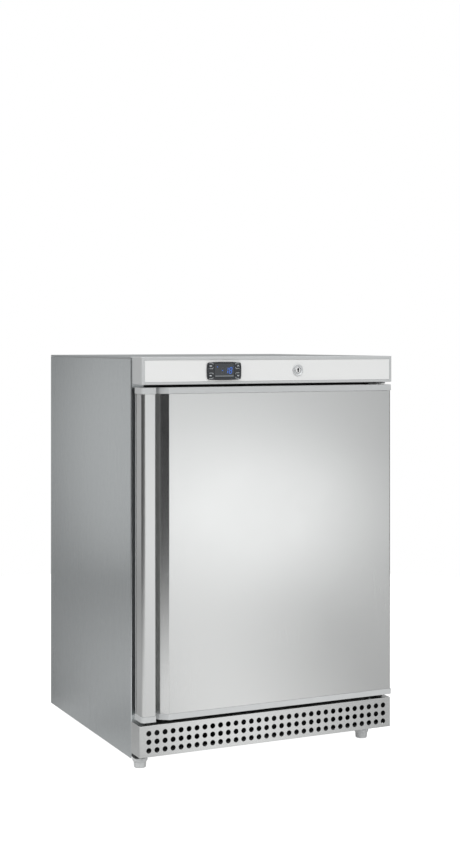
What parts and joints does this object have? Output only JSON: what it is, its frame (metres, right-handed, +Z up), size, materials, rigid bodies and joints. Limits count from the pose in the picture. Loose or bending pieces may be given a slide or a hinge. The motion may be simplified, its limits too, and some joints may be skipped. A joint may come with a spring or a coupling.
{
  "type": "undercounter freezer",
  "caption": "Stainless undercounter freezer with a solid right-hinged door, full-height integrated handle, top control fascia with digital display and key lock, and perforated kick plate.",
  "frame": {"origin": "on the floor under the centre of the cabinet's overall box", "axes": "+X to the right as seen from the front, +Y from the front to the back, +Z up"},
  "size_m": [0.6, 0.585, 0.855],
  "materials": {
    "brushed_steel_door": "satin",
    "side_steel": "satin",
    "kick_steel": "satin",
    "zinc_sheet": "satin",
    "fascia_grey": "satin",
    "cap_grey": "satin",
    "foot_grey": "satin",
    "fascia_white": "satin",
    "liner_white": "satin",
    "controller_charcoal": "satin",
    "display_lens": "gloss",
    "key_charcoal": "satin",
    "lock_chrome": "polished",
    "seal_grey": "matte",
    "insulation": "matte",
    "compressor_black": "satin",
    "terminal_black": "matte",
    "condenser_black": "satin",
    "copper": "satin",
    "evaporator_white": "gloss",
    "black_rubber": "matte",
    "bush_nylon": "satin",
    "pin_steel": "satin"
  },
  "bodies": {
    "cabinet": {"side_panel_left": "side_steel", "side_panel_right": "side_steel", "top_panel": "side_steel", "rear_panel": "zinc_sheet", "base_tray": "zinc_sheet", "floor_pan": "zinc_sheet", "cabinet_foam": "insulation", "inner_liner": "liner_white", "breaker_frame": "liner_white", "kick_plate": "kick_steel", "fascia_frame": "fascia_grey", "fascia_plate": "fascia_white", "controller_housing": "controller_charcoal", "controller_bezel": "controller_charcoal", "display_lens": "display_lens", "lock_housing": "lock_chrome", "lock_nut": "zinc_sheet", "hinge_bracket_top": "zinc_sheet", "hinge_pin_top": "pin_steel", "hinge_bracket_bottom": "zinc_sheet", "hinge_pin_bottom": "pin_steel", "hinge_screw_1": "pin_steel", "hinge_screw_2": "pin_steel", "hinge_screw_3": "pin_steel", "hinge_screw_4": "pin_steel", "compressor": "compressor_black", "terminal_cover": "terminal_black", "compressor_grommet_1": "black_rubber", "compressor_grommet_2": "black_rubber", "compressor_grommet_3": "black_rubber", "compressor_grommet_4": "black_rubber", "condenser_coil": "condenser_black", "condenser_strap_left": "zinc_sheet", "condenser_strap_right": "zinc_sheet", "filter_drier": "copper", "suction_line": "copper", "evaporator_shelf_low": "evaporator_white", "evaporator_shelf_middle": "evaporator_white", "evaporator_shelf_high": "evaporator_white", "temperature_probe": "pin_steel", "cord_gland": "black_rubber"},
    "door": {"door_skin": "brushed_steel_door", "door_foam": "insulation", "door_inner_liner": "liner_white", "door_gasket": "seal_grey", "handle_profile": "brushed_steel_door", "door_cap_top": "cap_grey", "door_cap_bottom": "cap_grey", "hinge_bush_top": "bush_nylon", "hinge_bush_bottom": "bush_nylon"},
    "lock": {"lock_cylinder": "lock_chrome", "lock_cam": "zinc_sheet"},
    "key_light": {"key_light": "key_charcoal"},
    "key_set": {"key_set": "key_charcoal"},
    "key_up": {"key_up": "key_charcoal"},
    "key_down": {"key_down": "key_charcoal"},
    "foot_front_left": {"foot_front_left": "foot_grey"},
    "foot_front_right": {"foot_front_right": "foot_grey"},
    "foot_rear_left": {"foot_rear_left": "foot_grey"},
    "foot_rear_right": {"foot_rear_right": "foot_grey"}
  },
  "joints": [
    {"name": "door_hinge", "type": "hinge", "parent": "cabinet", "child": "door", "pos_m": [0.278, -0.2635, 0.4478], "axis": [0, 0, 1], "range_deg": [0, 105]},
    {"name": "lock_turn", "type": "hinge", "parent": "cabinet", "child": "lock", "pos_m": [0.0635, -0.275, 0.8255], "axis": [0, 1, 0], "range_deg": [0, 90]},
    {"name": "key_light_press", "type": "slide", "parent": "cabinet", "child": "key_light", "axis": [0, 1, 0], "range_m": [0, 0.0008], "stiffness_N_per_m": 1200},
    {"name": "key_set_press", "type": "slide", "parent": "cabinet", "child": "key_set", "axis": [0, 1, 0], "range_m": [0, 0.0008], "stiffness_N_per_m": 1200},
    {"name": "key_up_press", "type": "slide", "parent": "cabinet", "child": "key_up", "axis": [0, 1, 0], "range_m": [0, 0.0008], "stiffness_N_per_m": 1200},
    {"name": "key_down_press", "type": "slide", "parent": "cabinet", "child": "key_down", "axis": [0, 1, 0], "range_m": [0, 0.0008], "stiffness_N_per_m": 1200},
    {"name": "foot_front_left_level", "type": "slide", "parent": "cabinet", "child": "foot_front_left", "axis": [0, 0, -1], "range_m": [0, 0.015]},
    {"name": "foot_front_right_level", "type": "slide", "parent": "cabinet", "child": "foot_front_right", "axis": [0, 0, -1], "range_m": [0, 0.015]},
    {"name": "foot_rear_left_level", "type": "slide", "parent": "cabinet", "child": "foot_rear_left", "axis": [0, 0, -1], "range_m": [0, 0.015]},
    {"name": "foot_rear_right_level", "type": "slide", "parent": "cabinet", "child": "foot_rear_right", "axis": [0, 0, -1], "range_m": [0, 0.015]}
  ]
}
